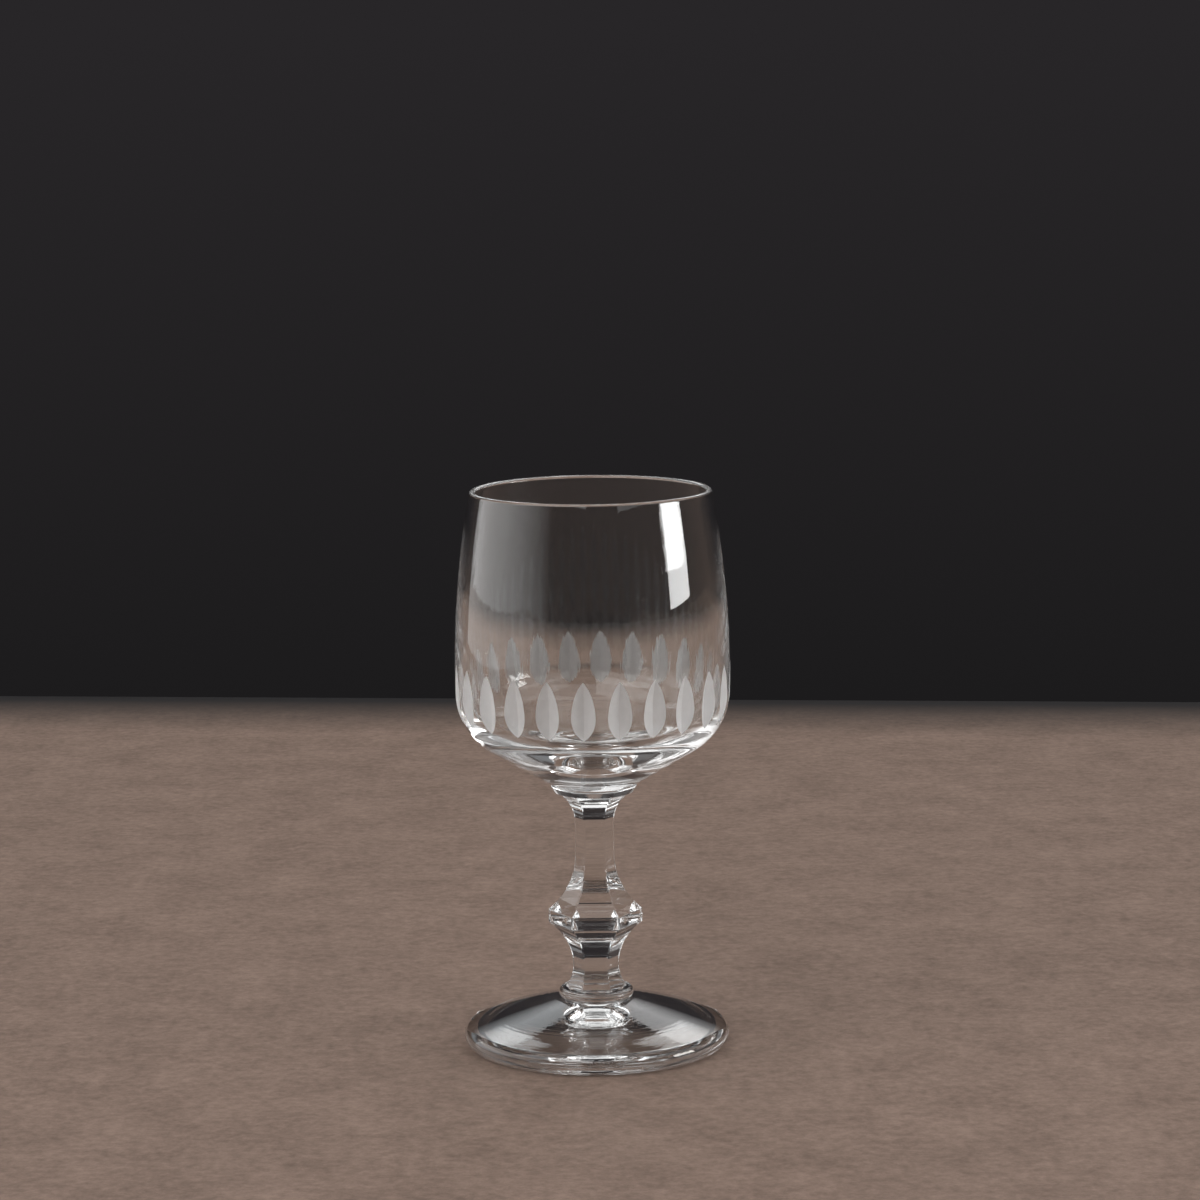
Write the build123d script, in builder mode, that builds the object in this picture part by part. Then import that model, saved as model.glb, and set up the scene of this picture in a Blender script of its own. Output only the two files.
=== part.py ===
from build123d import *
from math import asin, cos, radians, sin, sqrt
import os

# A cordial glass of clear cut crystal, in millimetres, standing on a table with +Z up. The origin is on
# the table under the middle of the foot. Foot, button, stem, collar and bowl are each shaped alone and
# joined hot, on a flat face of the piece below.

# Foot: a round foot with a domed top, a thick rounded edge and a hollow underside
foot_radius = 25.6
foot_height = 9.2
foot_edge_radius = 2.2
foot_edge_slope = 19.0  # degrees that the dome falls where it meets the rounded edge
foot_rest_width = 1.5  # flat ring that stands on the table
foot_hollow = 3.8  # rise of the underside at the middle
foot_pad_margin = 0.1  # flat of the foot's top left round the button

# Button: a low disc with a round edge, between foot and stem
button_radius = 7.2
button_thickness = 2.0
button_edge_radius = 0.9

# Stem: six flat sides, measured across flats, and the lengths of its stretches from the bottom up
stem_base_flats = 10.3
lower_neck_flats = 7.73
knop_flats = 15.8
upper_neck_flats = 6.68
stem_top_flats = 13.07
base_flare_length = 4.3
knop_rise_length = 8.5
knop_belt_length = 2.5
knop_taper_length = 10.5
upper_neck_length = 6.9
top_flare_length = 5.8
stem_sides = 6

# Collar: a thin disc that widens towards the bowl
collar_thickness = 1.4
collar_margin = 0.05  # collar left round the stem's corners
collar_flare = 0.87
collar_edge_radius = 0.3
seat_margin = 0.45  # collar left round the bowl's seat

# Bowl, outside: a cone from the collar, a rounded shoulder and a barrel wall drawn in to the rim
belly_radius = 26.31
cone_rise = 10.9  # from the seat to the sharp corner under the rounded shoulder
corner_to_belly = 11.24
belly_to_rim = 34.76
rim_inset = 3.3
shoulder_radius = 12.8

# Bowl, inside: a dished floor on a thick base, and a wall that thins towards the lip
base_thickness = 7.9
floor_rise = 4.52
inner_shoulder_radius = 8.0
belly_wall = 2.0
inner_belly_lift = 9.7  # widest point inside, above the widest point outside
lip_thickness = 1.14
lip_roundness = 0.46  # radius of the lip's edges as a share of its thickness, half is a full round

# Leaf cuts: one row of mitre cuts, each the mark of a wheel with a sharp edge and rounded flanks
cut_count = 24
cut_turn = 11.2  # degrees from +X to the first cut
wheel_radius = 30.0
wheel_half_angle = 73.3  # degrees between the wheel's plane and its flank, at the sharp edge
wheel_flank_radius = 9.24
wheel_edge_depth = 3.0  # how far in the flanks reach, more than any cut is deep
wheel_reach = 1.27  # wheel's edge inside the belly
wheel_drop = 6.43  # wheel's axle below the belly

# Levels of the joints, from the table up
button_bottom = foot_height
stem_bottom = button_bottom + button_thickness
stem_length = (
    base_flare_length + knop_rise_length + knop_belt_length
    + knop_taper_length + upper_neck_length + top_flare_length
)
collar_bottom = stem_bottom + stem_length
bowl_bottom = collar_bottom + collar_thickness

os.makedirs("parts", exist_ok=True)


def upright(level):
    """Drawing plane through the axis at a level: its x runs out from the axis and its y runs up."""
    return Plane(origin=(0, 0, level), x_dir=(1, 0, 0), z_dir=(0, -1, 0))


# The foot's dome runs tangent into its rounded edge, which stands on the rest ring
rest_outer = foot_radius - foot_edge_radius
rest_inner = rest_outer - foot_rest_width
fall = radians(foot_edge_slope)
dome_start = (rest_outer + foot_edge_radius * sin(fall), foot_edge_radius * (1 + cos(fall)))
pad_radius = button_radius + foot_pad_margin

with BuildPart() as foot:
    with BuildSketch(upright(0)):
        with BuildLine():
            TangentArc((0, foot_hollow), (rest_inner, 0), tangent=(1, 0))
            Line((rest_inner, 0), (rest_outer, 0))
            ThreePointArc((rest_outer, 0), (foot_radius, foot_edge_radius), dome_start)
            TangentArc(dome_start, (pad_radius, foot_height), tangent=(-cos(fall), sin(fall)))
            Polyline((pad_radius, foot_height), (0, foot_height), (0, foot_hollow))
        make_face()
    revolve(axis=Axis.Z)

foot.part.label = "foot"
export_step(foot.part, "parts/foot.step")

with BuildPart() as foot_button:
    with BuildSketch(Plane.XY.offset(button_bottom)):
        Circle(button_radius)
    extrude(amount=button_thickness)
    fillet(foot_button.edges().filter_by(GeomType.CIRCLE), radius=button_edge_radius)

foot_button.part.label = "foot_button"
export_step(foot_button.part, "parts/foot_button.step")

# Each pair of opposite stem sides is one outline, drawn across flats and run straight through. The stem
# is what the pairs have in common, so every level is a true hexagon.
lower_neck_level = base_flare_length
belt_bottom = lower_neck_level + knop_rise_length
belt_top = belt_bottom + knop_belt_length
neck_bottom = belt_top + knop_taper_length
neck_top = neck_bottom + upper_neck_length
widest_flats = max(stem_base_flats, knop_flats, stem_top_flats)

with BuildPart() as stem:
    for pair in range(stem_sides // 2):
        turn = radians(pair * 360 / stem_sides)
        pair_plane = Plane(
            origin=(0, 0, stem_bottom),
            x_dir=(-sin(turn), cos(turn), 0),
            z_dir=(cos(turn), sin(turn), 0),
        )
        with BuildSketch(pair_plane):
            with BuildLine():
                Line((0, 0), (stem_base_flats / 2, 0))
                TangentArc(
                    (lower_neck_flats / 2, lower_neck_level), (stem_base_flats / 2, 0), tangent=(0, -1)
                )
                TangentArc(
                    (lower_neck_flats / 2, lower_neck_level), (knop_flats / 2, belt_bottom), tangent=(0, 1)
                )
                Line((knop_flats / 2, belt_bottom), (knop_flats / 2, belt_top))
                TangentArc(
                    (upper_neck_flats / 2, neck_bottom), (knop_flats / 2, belt_top), tangent=(0, -1)
                )
                Line((upper_neck_flats / 2, neck_bottom), (upper_neck_flats / 2, neck_top))
                TangentArc(
                    (upper_neck_flats / 2, neck_top), (stem_top_flats / 2, stem_length), tangent=(0, 1)
                )
                Line((stem_top_flats / 2, stem_length), (0, stem_length))
                mirror(about=Plane.YZ)
            make_face()
        extrude(amount=widest_flats, both=True, mode=Mode.INTERSECT if pair else Mode.ADD)

stem.part.label = "stem"
export_step(stem.part, "parts/stem.step")

stem_top_corner = stem_top_flats / 2 / cos(radians(180 / stem_sides))
collar_base_radius = stem_top_corner + collar_margin
collar_radius = collar_base_radius + collar_flare

with BuildPart() as bowl_collar:
    with BuildSketch(upright(collar_bottom)):
        with BuildLine():
            Polyline(
                (0, 0),
                (collar_base_radius, 0),
                (collar_radius, collar_thickness),
                (0, collar_thickness),
                close=True,
            )
        make_face()
    revolve(axis=Axis.Z)
    fillet(bowl_collar.edges().group_by(Axis.Z)[-1], radius=collar_edge_radius)

bowl_collar.part.label = "bowl_collar"
export_step(bowl_collar.part, "parts/bowl_collar.step")


def barrel_radius(widest_radius, inset, rise, drop):
    """Radius of a barrel wall at a drop below its widest level, where the wall is an arc that stands
    upright there and has come in by the inset at the rise above it."""
    arc_radius = (rise**2 + inset**2) / (2 * inset)
    return widest_radius - arc_radius + sqrt(arc_radius**2 - drop**2)


# Points of the bowl's outline, as radius and height above the seat
seat_radius = collar_radius - seat_margin
belly_level = cone_rise + corner_to_belly
rim_level = belly_level + belly_to_rim
corner = (barrel_radius(belly_radius, rim_inset, belly_to_rim, corner_to_belly), cone_rise)
rim = (belly_radius - rim_inset, rim_level)

inner_belly_radius = belly_radius - belly_wall
inner_belly_level = belly_level + inner_belly_lift
inner_rim = (rim[0] - lip_thickness, rim_level)
inner_rise = rim_level - inner_belly_level
inner_corner_level = base_thickness + floor_rise
inner_corner_radius = barrel_radius(
    inner_belly_radius,
    inner_belly_radius - inner_rim[0],
    inner_rise,
    inner_belly_level - inner_corner_level,
)
inner_corner = (inner_corner_radius, inner_corner_level)

# The wheel is a ring whose sharp edge runs in the upright plane through the glass's axis
wheel_axle = belly_radius - wheel_reach + wheel_radius
wheel_level = bowl_bottom + belly_level - wheel_drop
wheel_tip = belly_radius - wheel_reach
edge_angle = radians(wheel_half_angle)
flank_end_angle = asin(sin(edge_angle) - wheel_edge_depth / wheel_flank_radius)
wheel_half_width = wheel_flank_radius * (cos(flank_end_angle) - cos(edge_angle))

with BuildPart() as cutting_wheel:
    with BuildSketch(Plane.XY.offset(wheel_level)):
        with BuildLine():
            flank_end = (wheel_tip + wheel_edge_depth, wheel_half_width)
            TangentArc((wheel_tip, 0), flank_end, tangent=(cos(edge_angle), sin(edge_angle)))
            Line(flank_end, (flank_end[0], 0))
            mirror(about=Plane.XZ)
        make_face()
    revolve(axis=Axis((wheel_axle, 0, wheel_level), (0, 1, 0)))

with BuildPart() as bowl:
    with BuildSketch(upright(bowl_bottom)) as wall:
        with BuildLine():
            Polyline((0, base_thickness), (0, 0), (seat_radius, 0), corner)
            ThreePointArc(corner, (belly_radius, belly_level), rim)
            Line(rim, inner_rim)
            ThreePointArc(inner_rim, (inner_belly_radius, inner_belly_level), inner_corner)
            TangentArc((0, base_thickness), inner_corner, tangent=(1, 0))
        make_face()
        fillet(wall.vertices().sort_by_distance(corner)[0], radius=shoulder_radius)
        fillet(wall.vertices().sort_by_distance(inner_corner)[0], radius=inner_shoulder_radius)
        fillet(wall.vertices().group_by(Axis.Y)[-1], radius=lip_thickness * lip_roundness)
    revolve(axis=Axis.Z)
    with PolarLocations(0, cut_count, start_angle=cut_turn):
        add(cutting_wheel.part, mode=Mode.SUBTRACT)

bowl.part.label = "bowl"
export_step(bowl.part, "parts/bowl.step")
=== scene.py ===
from math import asin, atan2, cos, pi, radians, sin, tan

import bmesh
import bpy
from mathutils import Matrix, Vector


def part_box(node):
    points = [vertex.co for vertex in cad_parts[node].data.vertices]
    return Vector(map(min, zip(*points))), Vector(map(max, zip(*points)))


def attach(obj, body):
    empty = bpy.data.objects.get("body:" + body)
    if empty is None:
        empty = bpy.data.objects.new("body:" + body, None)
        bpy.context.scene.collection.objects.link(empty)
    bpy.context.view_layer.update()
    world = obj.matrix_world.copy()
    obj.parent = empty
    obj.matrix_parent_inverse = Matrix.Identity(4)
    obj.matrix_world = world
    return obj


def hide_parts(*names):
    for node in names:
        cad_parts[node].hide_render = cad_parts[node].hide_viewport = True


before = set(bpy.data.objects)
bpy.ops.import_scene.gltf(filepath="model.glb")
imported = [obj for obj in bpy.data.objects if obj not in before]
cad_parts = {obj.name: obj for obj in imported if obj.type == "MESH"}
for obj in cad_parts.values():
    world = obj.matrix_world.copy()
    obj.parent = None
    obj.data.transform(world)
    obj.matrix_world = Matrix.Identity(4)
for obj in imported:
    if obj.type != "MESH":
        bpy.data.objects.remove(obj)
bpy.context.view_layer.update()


# Foot
# One gather of clear crystal, pressed to a round disc with a domed top, a hollow underside and a thick
# fire-polished edge. It stands on a flat ring, and the button is joined hot to the middle of its top.

class Template:
    """Half an outline in the upright plane through the axis, drawn as straight runs and as arcs that
    follow on smoothly from the last stroke, and then turned about the axis."""

    def __init__(self, radius, height):
        self.shape = bmesh.new()
        self.pen = self.shape.verts.new((radius, 0, height))
        self.heading = 0.0

    def line_to(self, radius, height, runs=1):
        start = self.pen.co.copy()
        end = Vector((radius, 0, height))
        self.heading = atan2(end.z - start.z, end.x - start.x)
        for run in range(runs):
            self.pen = bmesh.ops.extrude_vert_indiv(self.shape, verts=[self.pen])["verts"][0]
            self.pen.co = start.lerp(end, (run + 1) / runs)

    def arc_to(self, radius, height, steps):
        start = self.pen.co.copy()
        chord = Vector((radius - start.x, height - start.z))
        bend = atan2(chord.y, chord.x) - self.heading
        half_sweep = (bend + pi) % (2 * pi) - pi
        arc_radius = chord.length / (2 * sin(half_sweep))
        aside = Vector((-sin(self.heading), 0, cos(self.heading)))
        centre = start + arc_radius * aside
        stroke = bmesh.ops.spin(
            self.shape, geom=[self.pen], cent=centre, axis=(0, -1, 0), angle=2 * half_sweep, steps=steps
        )
        self.pen = next(part for part in stroke["geom_last"] if isinstance(part, bmesh.types.BMVert))
        self.heading += 2 * half_sweep
        return centre

    def turn(self, sides):
        bmesh.ops.spin(
            self.shape,
            geom=self.shape.verts[:] + self.shape.edges[:],
            cent=(0, 0, 0),
            axis=(0, 0, 1),
            angle=2 * pi,
            steps=sides,
            use_merge=True,
        )
        bmesh.ops.remove_doubles(self.shape, verts=self.shape.verts, dist=weld)
        return self.shape


class Shade:
    """One shader socket, with sums on it written as plain expressions."""

    def __init__(self, socket):
        self.socket = socket

    def node(self, kind, settings=None, out=0, **inputs):
        made = self.socket.id_data.nodes.new("ShaderNode" + kind)
        for name, setting in (settings or {}).items():
            if name == "stops":
                for element, (position, colour) in zip(made.color_ramp.elements, setting):
                    element.position, element.color = position, colour
            else:
                setattr(made, name, setting)
        for name, value in inputs.items():
            key = int(name[1:]) if name[1:].isdigit() else name.replace("_", " ")
            if isinstance(value, Shade):
                self.socket.id_data.links.new(value.socket, made.inputs[key])
            else:
                made.inputs[key].default_value = value
        return Shade(made.outputs[out])

    def math(self, operation, a, b):
        return self.node("Math", {"operation": operation}, i0=a, i1=b)

    def __add__(self, other):
        return self.math("ADD", self, other)

    def __mul__(self, other):
        return self.math("MULTIPLY", self, other)

    __radd__ = __add__
    __rmul__ = __mul__


def new_material(name):
    """A new material, with the Object coordinates that its nodes start from and the surface they end at."""
    material = bpy.data.materials.new(name)
    material.use_nodes = True
    material.node_tree.nodes.clear()
    place = material.node_tree.nodes.new("ShaderNodeTexCoord").outputs["Object"]
    surface = material.node_tree.nodes.new("ShaderNodeOutputMaterial").inputs["Surface"]
    return material, Shade(place), surface


def crystal(name, streaks=0.0, rings=0.0):
    """Clear polished crystal, with the faint marks of handling and a slight ripple all over. A blown wall
    has upright streaks, and a foot has on its top the rings that shaping on the spin leaves."""
    relief_depth = 0.000004
    ripple_share = 0.3
    smudge_roughness = 0.02
    streak_stretch = 9.0
    ring_wander = 0.0006
    top_edge, top_start = 0.0038, 0.0046

    material, place, surface = new_material(name)
    smudge = place.node("TexNoise", Vector=place, Scale=60.0, Detail=3.0, Roughness=0.6)
    ripple = place.node("TexNoise", Vector=place, Scale=220.0, Detail=2.0)
    height = ripple * ripple_share
    if streaks:
        around = place.node("VectorMath", {"operation": "MULTIPLY"}, i0=place, i1=(1, 1, 0))
        around = place.node("VectorMath", {"operation": "NORMALIZE"}, i0=around)
        upward = place.node("VectorMath", {"operation": "MULTIPLY"}, i0=place, i1=(0, 0, streak_stretch))
        along = place.node("VectorMath", {"operation": "ADD"}, i0=around, i1=upward)
        height = height + streaks * place.node("TexNoise", Vector=along, Scale=36.0, Detail=3.0)
    if rings:
        flat = place.node("VectorMath", {"operation": "MULTIPLY"}, i0=place, i1=(1, 1, 0))
        out = place.node("VectorMath", {"operation": "LENGTH"}, out="Value", i0=flat)
        wobble = place.node("TexNoise", Vector=place, Scale=40.0, Detail=1.0)
        ring = place.node(
            "TexNoise", {"noise_dimensions": "1D"}, W=out + wobble * ring_wander, Scale=1300.0
        )
        level = place.node("SeparateXYZ", out="Z", Vector=place)
        on_top = place.node("MapRange", Value=level, From_Min=top_edge, From_Max=top_start)
        height = height + rings * ring * on_top
    relief = place.node("Bump", Height=height, Strength=1.0, Distance=relief_depth)
    glass = place.node(
        "BsdfPrincipled",
        Base_Color=(0.985, 0.992, 0.99, 1.0),
        Roughness=smudge * smudge_roughness,
        IOR=1.54,
        Transmission_Weight=1.0,
        Normal=relief,
    )
    material.node_tree.links.new(glass.socket, surface)
    return material


def fused_joint():
    """Where two pieces are melted together no surface is left, so light passes straight through."""
    material, place, surface = new_material("fused_joint")
    material.node_tree.links.new(place.node("BsdfTransparent").socket, surface)
    return material


def add_piece(name, shape, materials, crease):
    """A finished shape as an object, smooth but for the edges that turn by more than the crease."""
    bmesh.ops.recalc_face_normals(shape, faces=shape.faces)
    mesh = bpy.data.meshes.new(name)
    shape.to_mesh(mesh)
    shape.free()
    for material in materials:
        mesh.materials.append(material)
    mesh.shade_smooth()
    mesh.set_sharp_from_angle(angle=crease)
    piece = bpy.data.objects.new(name, mesh)
    bpy.context.scene.collection.objects.link(piece)
    return piece


def join_flat(shape, level, reach):
    """Gives the faces of a flat joint, at a level and within a reach of the axis, the joint's material."""
    for face in shape.faces:
        middle = face.calc_center_median()
        if abs(middle.z - level) < weld and middle.xy.length < reach:
            face.material_index = joint_slot


weld = 1e-7
round_sides = 192
crease = radians(20)
joint_slot = 1  # each piece has its crystal first and the joint next
clear_crystal = crystal("clear_crystal")
joint = fused_joint()

foot_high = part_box("foot")[1]
foot_radius = foot_high.x
foot_top = foot_high.z
foot_edge_radius = 0.0022
foot_edge_slope = radians(19)
foot_rest_width = 0.0015
foot_hollow = 0.0038
foot_pad_radius = 0.0073
button_seat_radius = 0.0063

rest_outer = foot_radius - foot_edge_radius
rest_inner = rest_outer - foot_rest_width
dome_radius = rest_outer + foot_edge_radius * sin(foot_edge_slope)
dome_height = foot_edge_radius * (1 + cos(foot_edge_slope))

foot_template = Template(0, foot_hollow)
foot_template.arc_to(rest_inner, 0, steps=24)
foot_template.line_to(rest_outer, 0)
foot_template.arc_to(foot_radius, foot_edge_radius, steps=14)
foot_template.arc_to(dome_radius, dome_height, steps=12)
foot_template.arc_to(foot_pad_radius, foot_top, steps=24)
foot_template.line_to(button_seat_radius, foot_top)
foot_template.line_to(0, foot_top)
foot_shape = foot_template.turn(round_sides)
join_flat(foot_shape, foot_top, button_seat_radius)
spun_crystal = crystal("spun_crystal", rings=4.0)
foot = add_piece("crystal_foot", foot_shape, [spun_crystal, joint], crease)
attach(foot, "root")
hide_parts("foot")


# Button
# A small flattened gather between foot and stem, clear crystal with a round edge. It is dropped hot on the
# foot, and the six-sided stem is joined to its flat top.

def open_hexagon(shape, level, corner_radius, rounding, sides):
    """The six-sided flat that the stem is joined on, filled out to the open round edge about it."""
    rim = [edge for edge in shape.edges if edge.is_boundary]
    flat = bmesh.ops.create_circle(
        shape, cap_ends=True, segments=sides, radius=corner_radius, matrix=Matrix.Translation((0, 0, level))
    )
    bmesh.ops.bevel(
        shape,
        geom=flat["verts"],
        offset=rounding,
        segments=4,
        profile=0.5,
        affect="VERTICES",
        material=-1,
    )
    outline = [edge for edge in shape.edges if edge.is_boundary and edge not in rim]
    bmesh.ops.triangle_fill(shape, edges=rim + outline, use_beauty=True, normal=(0, 0, 1))
    hexagon = max(
        (face for face in shape.faces if abs(face.calc_center_median().z - level) < weld),
        key=lambda face: len(face.verts),
    )
    hexagon.material_index = joint_slot


stem_sides = 6
stem_corner_rounding = 0.00022
stem_base_flats = 0.0103
button_low, button_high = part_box("foot_button")
button_radius = button_high.x
button_edge_radius = 0.0009
corner_share = 1 / cos(pi / stem_sides)

button_template = Template(0, button_low.z)
button_template.line_to(button_seat_radius, button_low.z)
button_template.arc_to(button_radius, button_low.z + button_edge_radius, steps=12)
button_template.line_to(button_radius, button_high.z - button_edge_radius)
button_template.arc_to(button_radius - button_edge_radius, button_high.z, steps=12)
button_shape = button_template.turn(round_sides)
stem_base_corner = stem_base_flats / 2 * corner_share
open_hexagon(button_shape, button_high.z, stem_base_corner, stem_corner_rounding, stem_sides)
join_flat(button_shape, button_low.z, button_seat_radius)
button = add_piece("crystal_button", button_shape, [clear_crystal, joint], crease)
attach(button, "root")
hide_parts("foot_button")


# Stem
# Clear crystal, drawn and pressed to six flat sides, with a narrow neck above and below a sharp-edged knop.
# The corners are softened by the fire. It stands between button and collar, joined hot to both.

stem_low, stem_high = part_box("stem")
knop_flats = stem_high.y * 2
lower_neck_flats = 0.00773
upper_neck_flats = 0.00668
stem_top_flats = 0.01307
base_flare_length = 0.0043
knop_rise_length = 0.0085
knop_belt_length = 0.0025
knop_taper_length = 0.0105
upper_neck_length = 0.0069

lower_neck_level = stem_low.z + base_flare_length
belt_bottom = lower_neck_level + knop_rise_length
belt_top = belt_bottom + knop_belt_length
neck_bottom = belt_top + knop_taper_length
neck_top = neck_bottom + upper_neck_length


def flare(template, neck, neck_level, end, end_level, steps):
    """An arc that leaves a neck upright and swings out to a wider end, from whichever end the pen is at."""
    if abs(template.pen.co.z - neck_level) < weld:
        template.heading = pi / 2
        template.arc_to(end, end_level, steps)
    else:
        lean = 2 * atan2(end - neck, abs(neck_level - end_level))
        template.heading = pi / 2 + lean
        template.arc_to(neck, neck_level, steps)


stem_template = Template(0, stem_low.z)
stem_template.line_to(stem_base_flats / 2, stem_low.z)
flare(stem_template, lower_neck_flats / 2, lower_neck_level, stem_base_flats / 2, stem_low.z, steps=14)
flare(stem_template, lower_neck_flats / 2, lower_neck_level, knop_flats / 2, belt_bottom, steps=28)
stem_template.line_to(knop_flats / 2, belt_top)
flare(stem_template, upper_neck_flats / 2, neck_bottom, knop_flats / 2, belt_top, steps=28)
stem_template.line_to(upper_neck_flats / 2, neck_top, runs=6)
flare(stem_template, upper_neck_flats / 2, neck_top, stem_top_flats / 2, stem_high.z, steps=20)
stem_template.line_to(0, stem_high.z)
bmesh.ops.scale(stem_template.shape, vec=(corner_share, 1, 1), verts=stem_template.shape.verts)
stem_shape = stem_template.turn(stem_sides)
bmesh.ops.recalc_face_normals(stem_shape, faces=stem_shape.faces)
sharp_corners = [
    edge
    for edge in stem_shape.edges
    if edge.calc_face_angle(0) > crease
    and stem_low.z + weld < max(vert.co.z for vert in edge.verts)
    and min(vert.co.z for vert in edge.verts) < stem_high.z - weld
]
bmesh.ops.bevel(
    stem_shape,
    geom=sharp_corners,
    offset=stem_corner_rounding,
    segments=4,
    profile=0.5,
    affect="EDGES",
    material=-1,
)
join_flat(stem_shape, stem_low.z, stem_base_flats)
join_flat(stem_shape, stem_high.z, stem_top_flats)
stem = add_piece("crystal_stem", stem_shape, [clear_crystal, joint], crease)
stem.modifiers.new("flat_sides", "WEIGHTED_NORMAL").keep_sharp = True
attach(stem, "root")
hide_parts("stem")


# Collar
# A thin flat disc of clear crystal between stem and bowl, wider above than below. It is pressed from a
# small gather, and the bowl is joined hot to its top.

collar_low, collar_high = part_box("bowl_collar")
collar_base_radius = 0.0076
collar_flare = 0.00087
collar_edge_radius = 0.0003
bowl_seat_radius = 0.008

collar_slope = atan2(collar_high.z - collar_low.z, collar_flare)
setback = collar_edge_radius * tan((pi - collar_slope) / 2)
collar_template = Template(collar_base_radius, collar_low.z)
collar_template.line_to(
    collar_base_radius + collar_flare - setback * cos(collar_slope),
    collar_high.z - setback * sin(collar_slope),
)
collar_template.arc_to(bowl_seat_radius, collar_high.z, steps=10)
collar_template.line_to(0, collar_high.z)
collar_shape = collar_template.turn(round_sides)
stem_top_corner = stem_top_flats / 2 * corner_share
open_hexagon(collar_shape, collar_low.z, stem_top_corner, stem_corner_rounding, stem_sides)
join_flat(collar_shape, collar_high.z, bowl_seat_radius)
collar = add_piece("crystal_collar", collar_shape, [clear_crystal, joint], crease)
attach(collar, "root")
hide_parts("bowl_collar")


# Bowl
# A blown barrel bowl of clear crystal on a thick base, with a fire-polished lip. Round its shoulder a
# sharp-edged wheel has ground one row of leaves, which are left frosted.

def ground_crystal(name):
    """The grey frosted face that a grinding wheel leaves, with fine scratches along its run."""
    material, place, surface = new_material(name)
    stretched = place.node("VectorMath", {"operation": "MULTIPLY"}, i0=place, i1=(1, 1, 0.12))
    scratches = place.node("TexNoise", Vector=stretched, Scale=9000.0, Detail=2.0, Roughness=0.7)
    cloud = place.node("TexNoise", Vector=place, Scale=700.0, Detail=3.0)
    tone = place.node(
        "ValToRGB",
        {"stops": [(0.3, (0.92, 0.92, 0.92, 1.0)), (0.7, (0.99, 0.99, 0.99, 1.0))]},
        Fac=cloud * 0.7 + scratches * 0.3,
    )
    relief = place.node("Bump", Height=scratches, Strength=0.5, Distance=0.00003)
    ground = place.node(
        "BsdfPrincipled",
        Base_Color=tone,
        Roughness=0.85 + 0.1 * scratches,
        IOR=1.54,
        Transmission_Weight=0.5,
        Normal=relief,
    )
    material.node_tree.links.new(ground.socket, surface)
    return material


bowl_low, bowl_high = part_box("bowl")
belly_radius = bowl_high.x
cone_end = (0.02011, 0.05844)
shoulder_end = (0.02626, 0.0691)
lip_start = (0.02308, bowl_high.z - 0.00046)
lip_thickness = 0.00114
inner_shoulder_start = (0.0235, 0.06849)
inner_shoulder_end = (0.01795, 0.06175)
floor_height = 0.0590
wheel_radius = 0.030
wheel_half_angle = radians(73.3)
wheel_flank_radius = 0.00924
wheel_edge_depth = 0.00135
wheel_reach = 0.00127
wheel_level = 0.06681
wheel_sides = 300
inner_wall_slot = 2
leaf_count = 24
leaf_turn = radians(11.2)

bowl_template = Template(0, bowl_low.z)
bowl_template.line_to(bowl_seat_radius, bowl_low.z)
bowl_template.line_to(*cone_end, runs=10)
cone_tilt = bowl_template.heading - pi / 2
shoulder_centre = bowl_template.arc_to(*shoulder_end, steps=40)
wall_centre = bowl_template.arc_to(*lip_start, steps=40)
across = bowl_template.heading + pi / 2
lip_end = (lip_start[0] + lip_thickness * cos(across), lip_start[1] + lip_thickness * sin(across))
bowl_template.arc_to(*lip_end, steps=20)
bowl_template.arc_to(*inner_shoulder_start, steps=40)
bowl_template.arc_to(*inner_shoulder_end, steps=32)
bowl_template.arc_to(0, floor_height, steps=28)
bowl_shape = bowl_template.turn(round_sides)
join_flat(bowl_shape, bowl_low.z, bowl_seat_radius)
bmesh.ops.recalc_face_normals(bowl_shape, faces=bowl_shape.faces)
for face in bowl_shape.faces:
    middle = face.calc_center_median()
    if middle.z > inner_shoulder_start[1] and face.normal.xy.dot(middle.xy) < 0:
        face.material_index = inner_wall_slot
blown_crystal = crystal("blown_crystal", streaks=0.5)
drawn_crystal = crystal("drawn_crystal", streaks=3.0)
bowl = add_piece("crystal_bowl", bowl_shape, [blown_crystal, joint, drawn_crystal], crease)

flank_end_angle = asin(sin(wheel_half_angle) - wheel_edge_depth / wheel_flank_radius)
wheel_half_width = wheel_flank_radius * (cos(flank_end_angle) - cos(wheel_half_angle))
wheel_template = Template(0, -wheel_half_width)
wheel_template.line_to(wheel_radius - wheel_edge_depth, -wheel_half_width)
wheel_template.heading = flank_end_angle
wheel_template.arc_to(wheel_radius, 0, steps=6)
wheel_template.heading = pi - wheel_half_angle
wheel_template.arc_to(wheel_radius - wheel_edge_depth, wheel_half_width, steps=6)
wheel_template.line_to(0, wheel_half_width)
wheel_shape = wheel_template.turn(wheel_sides)
axle = Vector((belly_radius - wheel_reach + wheel_radius, 0, wheel_level))
on_edge = Matrix.Rotation(pi / 2, 3, "X")
to_first_leaf = Matrix.Rotation(leaf_turn, 3, "Z")
bmesh.ops.rotate(wheel_shape, verts=wheel_shape.verts, cent=(0, 0, 0), matrix=on_edge)
bmesh.ops.translate(wheel_shape, verts=wheel_shape.verts, vec=axle)
bmesh.ops.rotate(wheel_shape, verts=wheel_shape.verts, cent=(0, 0, 0), matrix=to_first_leaf)
bmesh.ops.spin(
    wheel_shape,
    geom=wheel_shape.verts[:] + wheel_shape.edges[:] + wheel_shape.faces[:],
    cent=(0, 0, 0),
    axis=(0, 0, 1),
    angle=2 * pi * (leaf_count - 1) / leaf_count,
    steps=leaf_count - 1,
    use_duplicate=True,
)
wheels = add_piece("wheels", wheel_shape, [ground_crystal("ground_crystal")], crease)

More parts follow.
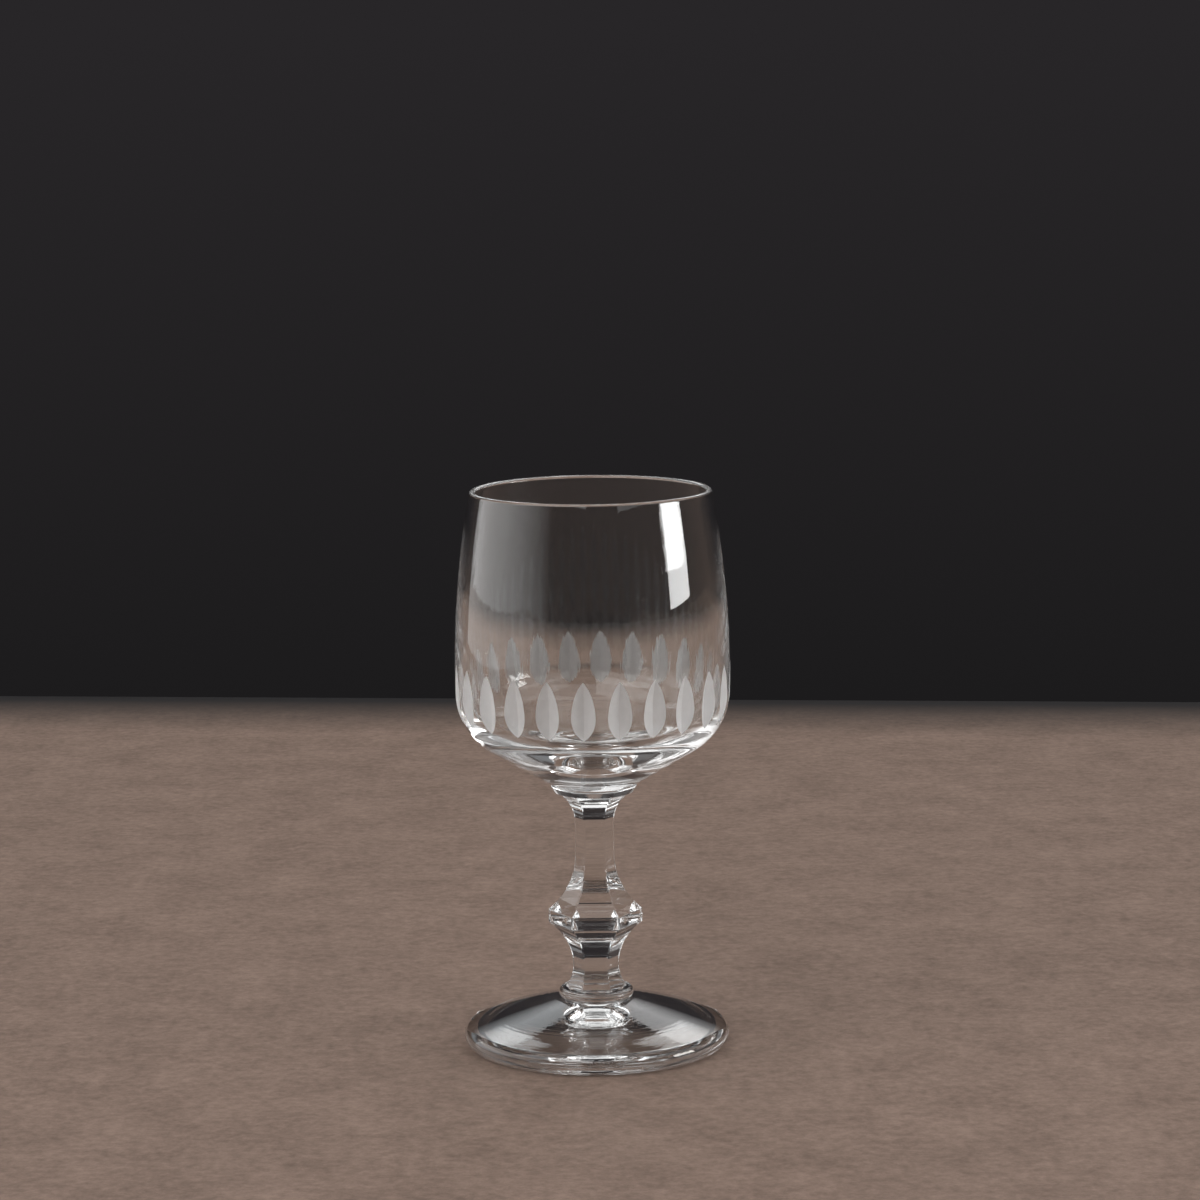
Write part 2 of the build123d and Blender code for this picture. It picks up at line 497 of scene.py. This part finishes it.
grinding = bowl.modifiers.new("grinding", "BOOLEAN")
grinding.operation = "DIFFERENCE"
grinding.solver = "EXACT"
grinding.material_mode = "TRANSFER"
grinding.object = wheels
ground_mesh = bpy.data.meshes.new_from_object(bowl.evaluated_get(bpy.context.evaluated_depsgraph_get()))
bowl.modifiers.clear()
bowl.data = ground_mesh
bpy.data.objects.remove(wheels)

# Beside the cuts the wall keeps the normals of its own outline, so its reflections run on to the leaf's edge
leaf_slot = ground_mesh.materials.find("ground_crystal")
leaf_corners = set()
for face in ground_mesh.polygons:
    if face.material_index == leaf_slot:
        leaf_corners.update(face.vertices)
true_normals = [(0, 0, 0)] * len(ground_mesh.loops)
for face in ground_mesh.polygons:
    if face.material_index != leaf_slot and leaf_corners.intersection(face.vertices):
        for corner in face.loop_indices:
            place = ground_mesh.vertices[ground_mesh.loops[corner].vertex_index].co
            if place.z > shoulder_end[1]:
                tilt = atan2(place.z - wall_centre.z, place.xy.length - wall_centre.x)
            elif place.z > cone_end[1]:
                tilt = atan2(place.z - shoulder_centre.z, place.xy.length - shoulder_centre.x)
            else:
                tilt = cone_tilt
            outward = place.xy.normalized() * cos(tilt)
            true_normals[corner] = (outward.x, outward.y, sin(tilt))
ground_mesh.set_sharp_from_angle(angle=crease)
ground_mesh.normals_split_custom_set(true_normals)
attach(bowl, "root")
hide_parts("bowl")


# Floor and backdrop
# A plain table top under the glass, of a soft mottled and grainy taupe. A little way behind the glass its
# colour is painted to near black, painted shade for the table's edge falling into shadow, and the room
# beyond it is dark too.

floor_width, floor_front, floor_back = 1.1, 0.45, 0.37
floor_turn = radians(-5.4)
painted_shade_start, painted_shade_end = 0.315, 0.365
room_fill = 0.1

floor_shape = bmesh.new()
bmesh.ops.create_grid(floor_shape, x_segments=1, y_segments=1, size=0.5)
bmesh.ops.scale(floor_shape, vec=(floor_width, floor_front + floor_back, 1), verts=floor_shape.verts)
bmesh.ops.translate(floor_shape, vec=(0, (floor_back - floor_front) / 2, 0), verts=floor_shape.verts)
aslant = Matrix.Rotation(floor_turn, 3, "Z")
bmesh.ops.rotate(floor_shape, cent=(0, 0, 0), matrix=aslant, verts=floor_shape.verts)

floor_material, floor_place, floor_surface = new_material("taupe_table")
mottle = floor_place.node("TexNoise", Vector=floor_place, Scale=60.0, Detail=4.0, Roughness=0.7)
grain = floor_place.node("TexNoise", Vector=floor_place, Scale=420.0, Detail=4.0, Roughness=0.75)
taupe = floor_place.node(
    "ValToRGB",
    {"stops": [(0.36, (0.165, 0.113, 0.088, 1.0)), (0.64, (0.302, 0.211, 0.168, 1.0))]},
    Fac=mottle * 0.4 + grain * 0.6,
)
backward = (-sin(floor_turn), cos(floor_turn), 0)
behind_glass = floor_place.node(
    "VectorMath", {"operation": "DOT_PRODUCT"}, out="Value", i0=floor_place, i1=backward
)
# Behind the glass the table top is painted near black: painted shade where its edge falls away into shadow
into_painted_shade = floor_place.node(
    "ValToRGB",
    {"stops": [(painted_shade_start, (0.0, 0.0, 0.0, 1.0)), (painted_shade_end, (1.0, 1.0, 1.0, 1.0))]},
    Fac=behind_glass,
)
lit_top = floor_place.node("BsdfPrincipled", Base_Color=taupe, Roughness=0.7, Specular_IOR_Level=0.2)
painted_shade_top = floor_place.node(
    "BsdfPrincipled", Base_Color=(0.016, 0.0145, 0.0152, 1.0), Roughness=0.7, Specular_IOR_Level=0.2
)
table_top = floor_place.node("MixShader", i0=into_painted_shade, i1=lit_top, i2=painted_shade_top)
floor_material.node_tree.links.new(table_top.socket, floor_surface)
floor = add_piece("floor", floor_shape, [floor_material], crease)

world = bpy.data.worlds.new("dark_room")
bpy.context.scene.world = world
world.use_nodes = True
world.node_tree.nodes.clear()
room = Shade(world.node_tree.nodes.new("ShaderNodeOutputWorld").inputs["Surface"])
rays = room.node("LightPath").socket.node.outputs
seen = Shade(rays["Is Camera Ray"]) + Shade(rays["Is Glossy Ray"]) + Shade(rays["Is Transmission Ray"])
fill = room.node("Background", Color=(1.0, 0.98, 0.96, 1.0), Strength=room_fill)
upward = room.node("SeparateXYZ", out="Z", Vector=room.node("TexCoord", out="Generated"))
gloom = room.node(
    "ValToRGB",
    {"stops": [(0.32, (0.0116, 0.0110, 0.0116, 1.0)), (0.5, (0.0212, 0.0194, 0.0212, 1.0))]},
    Fac=upward + 0.5,
)
dark = room.node("Background", Color=gloom, Strength=1.0)
backdrop = room.node("MixShader", i0=seen, i1=fill, i2=dark)
world.node_tree.links.new(backdrop.socket, room.socket)


# Light
# A narrow bright window to the right of the glass, and a broad panel to its left that fades out towards the
# back. High panels stand on both sides and behind, dim low ones at the back corners, and one hangs overhead.

def soft_box(name, azimuth, reach, low, high, width, radiance, colour=(1.0, 1.0, 1.0), fade=None):
    """A flat upright light that faces the glass, at an azimuth from straight behind it. Its radiance is
    even, or runs down to nothing between two shares of its width, X, or its height, Y."""
    light = bpy.data.lights.new(name, "AREA")
    light.shape = "RECTANGLE"
    light.size, light.size_y = width, high - low
    light.energy = radiance * pi * width * (high - low)
    light.color = colour
    if fade:
        light.use_nodes = True
        light.node_tree.nodes.clear()
        glow = Shade(light.node_tree.nodes.new("ShaderNodeOutputLight").inputs["Surface"])
        side, full, none = fade
        across = glow.node("SeparateXYZ", out=side, Vector=glow.node("NewGeometry", out="Parametric"))
        stops = sorted([(full, (1, 1, 1, 1)), (none, (0, 0, 0, 1))])
        share = glow.node("ValToRGB", {"stops": stops}, Fac=across)
        light.node_tree.links.new(glow.node("Emission", Color=share, Strength=1.0).socket, glow.socket)
    box = bpy.data.objects.new(name, light)
    aim = Vector((sin(azimuth), cos(azimuth), 0))
    box.location = aim * reach + Vector((0, 0, (low + high) / 2))
    box.rotation_euler = (-aim).to_track_quat("-Z", "Y").to_euler()
    bpy.context.scene.collection.objects.link(box)
    return box


cool = (0.94, 0.98, 1.0)
cooler = (0.90, 0.96, 1.0)
soft_box("window", radians(100), reach=0.9, low=0.065, high=0.32, width=0.35, radiance=12.0)
to_back = ("X", 0.45, 0.95)
left_panel = soft_box(
    "left_panel", radians(-100), reach=0.9, low=-0.10, high=0.60, width=1.9, radiance=1.4, fade=to_back
)
left_panel.visible_camera = True  # from the right it shows through the bowl, so it shows beside it too
soft_box("left_high_panel", radians(-138), reach=0.95, low=0.45, high=1.60, width=1.5, radiance=2.0)
soft_box(
    "right_high_panel", radians(113), reach=0.95, low=0.38, high=0.90, width=1.7, radiance=1.2, colour=cool
)
back_size = {"reach": 1.2, "low": 0.40, "high": 1.05, "width": 0.42}
to_below = ("Y", 0.5, 0.0)
soft_box("back_left_panel", radians(-19), **back_size, radiance=1.8, colour=cool, fade=to_below)
soft_box("back_right_panel", radians(16), **back_size, radiance=2.1, fade=to_below)
soft_box("left_wall", radians(-44), reach=1.0, low=0.22, high=0.38, width=0.30, radiance=0.12)
soft_box("right_wall", radians(47), reach=1.0, low=0.22, high=0.38, width=0.45, radiance=0.18, colour=cooler)
overhead = soft_box("overhead", 0.0, reach=0.05, low=0.0, high=1.6, width=1.6, radiance=1.0)
overhead.location = (0, 0.05, 1.3)
overhead.rotation_euler = (0, 0, 0)


# Camera
# A long lens a little above the rim, from the front, tipped down at the glass and turned very slightly about
# its own line of sight. Light may bounce often enough to run its course inside solid crystal.

camera_place = (0.0016, -0.700, 0.1947)
camera_tip = radians(90 - 8.77)
camera_roll = radians(-0.68)
bounces = 32

camera = bpy.data.cameras.new("camera")
camera.sensor_width = 36.0
camera.lens = 111.5
view = bpy.data.objects.new("camera", camera)
view.location = camera_place
view.rotation_euler = (Matrix.Rotation(camera_tip, 3, "X") @ Matrix.Rotation(camera_roll, 3, "Z")).to_euler()
scene = bpy.context.scene
scene.collection.objects.link(view)
scene.camera = view
scene.view_settings.view_transform = "Standard"
scene.cycles.max_bounces = bounces
scene.cycles.glossy_bounces = bounces
scene.cycles.transmission_bounces = bounces
scene.cycles.transparent_max_bounces = bounces
